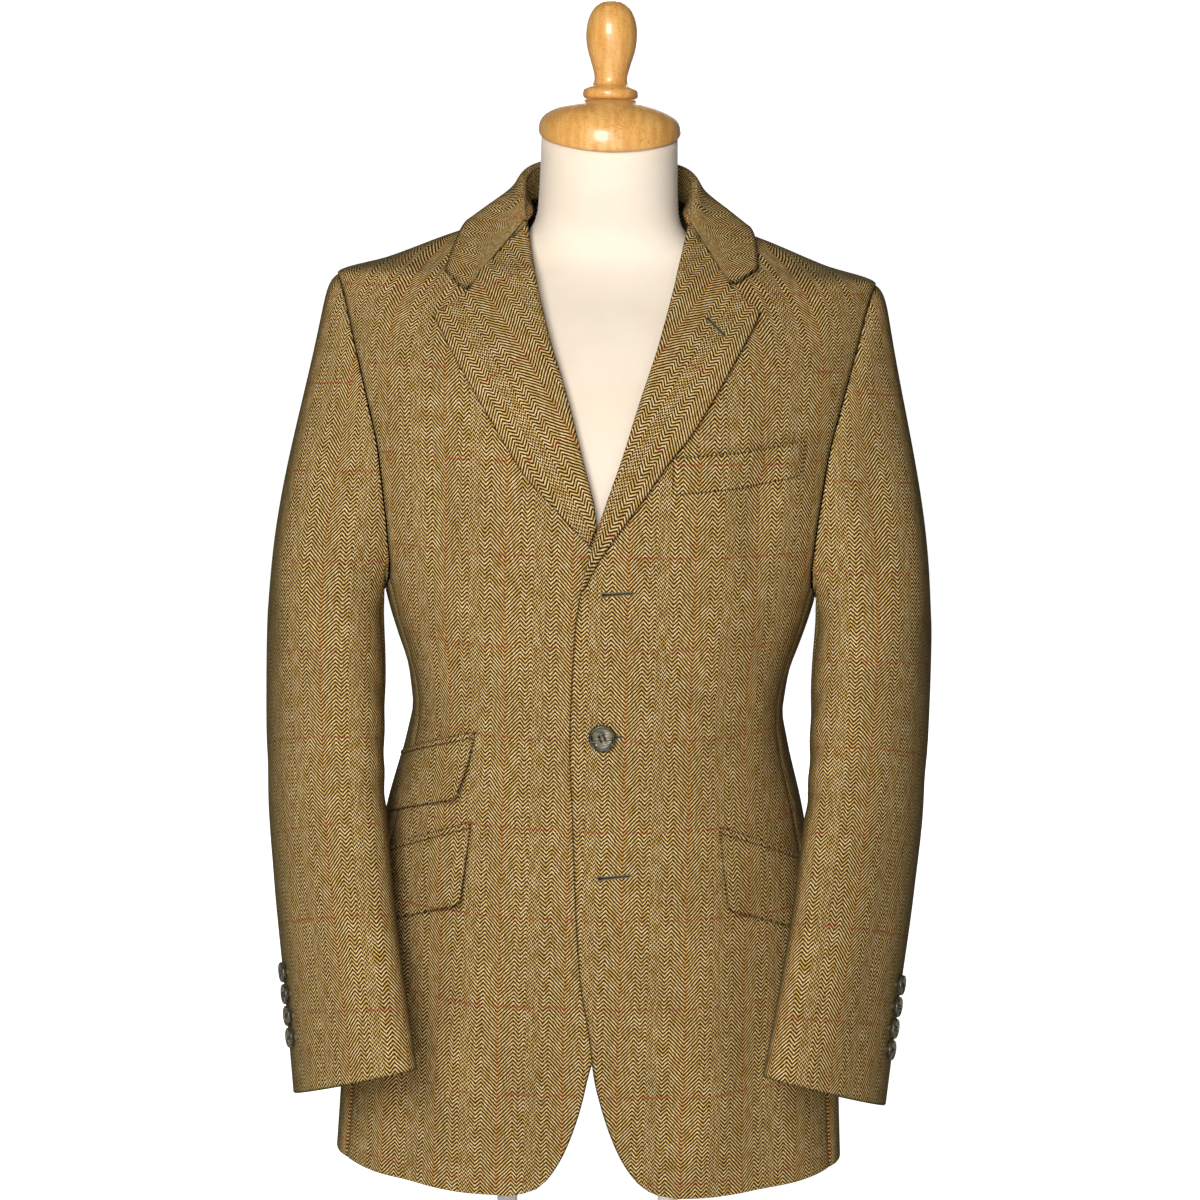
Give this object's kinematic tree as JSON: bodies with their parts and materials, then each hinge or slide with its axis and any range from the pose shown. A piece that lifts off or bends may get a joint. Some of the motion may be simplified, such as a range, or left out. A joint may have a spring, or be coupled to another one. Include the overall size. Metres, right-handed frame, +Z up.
{
  "type": "tweed jacket on a tailor's form",
  "caption": "Single-breasted herringbone tweed jacket with notched lapels, slanted flap pockets and buttoned cuffs, shown fastened on a limbless tailor's form with a turned neck cap.",
  "frame": {"origin": "on the floor, in the middle of the underside of the base plate", "axes": "+Z up; the jacket's front faces -Y and the wearer's left is at +X"},
  "size_m": [0.5138, 0.3074, 1.0168],
  "materials": {
    "tweed": "brown herringbone wool with a light nap",
    "horn": "mottled dark horn, semi-gloss",
    "cover": "fine cream cotton stretched over the form",
    "beech": "turned beech with clear varnish",
    "painted_wood": "off-white satin paint"
  },
  "bodies": {
    "root": {"front_left": "tweed", "front_right": "tweed", "side_left": "tweed", "side_right": "tweed", "back_left": "tweed", "back_right": "tweed", "lapel_left": "tweed", "lapel_right": "tweed", "collar": "tweed", "sleeve_upper_left": "tweed", "sleeve_upper_right": "tweed", "sleeve_under_left": "tweed", "sleeve_under_right": "tweed", "welt_breast": "tweed", "flap_hip_left": "tweed", "flap_hip_right": "tweed", "flap_ticket": "tweed", "jet_hip_left": "tweed", "jet_hip_right": "tweed", "jet_ticket": "tweed", "button_front": "horn", "button_cuff_left_1": "horn", "button_cuff_left_2": "horn", "button_cuff_left_3": "horn", "button_cuff_left_4": "horn", "button_cuff_right_1": "horn", "button_cuff_right_2": "horn", "button_cuff_right_3": "horn", "button_cuff_right_4": "horn", "form_torso": "cover", "neck_cap": "beech", "finial": "beech", "stand_leg_left": "painted_wood", "stand_leg_right": "painted_wood", "stand_base": "painted_wood"}
  },
  "joints": []
}
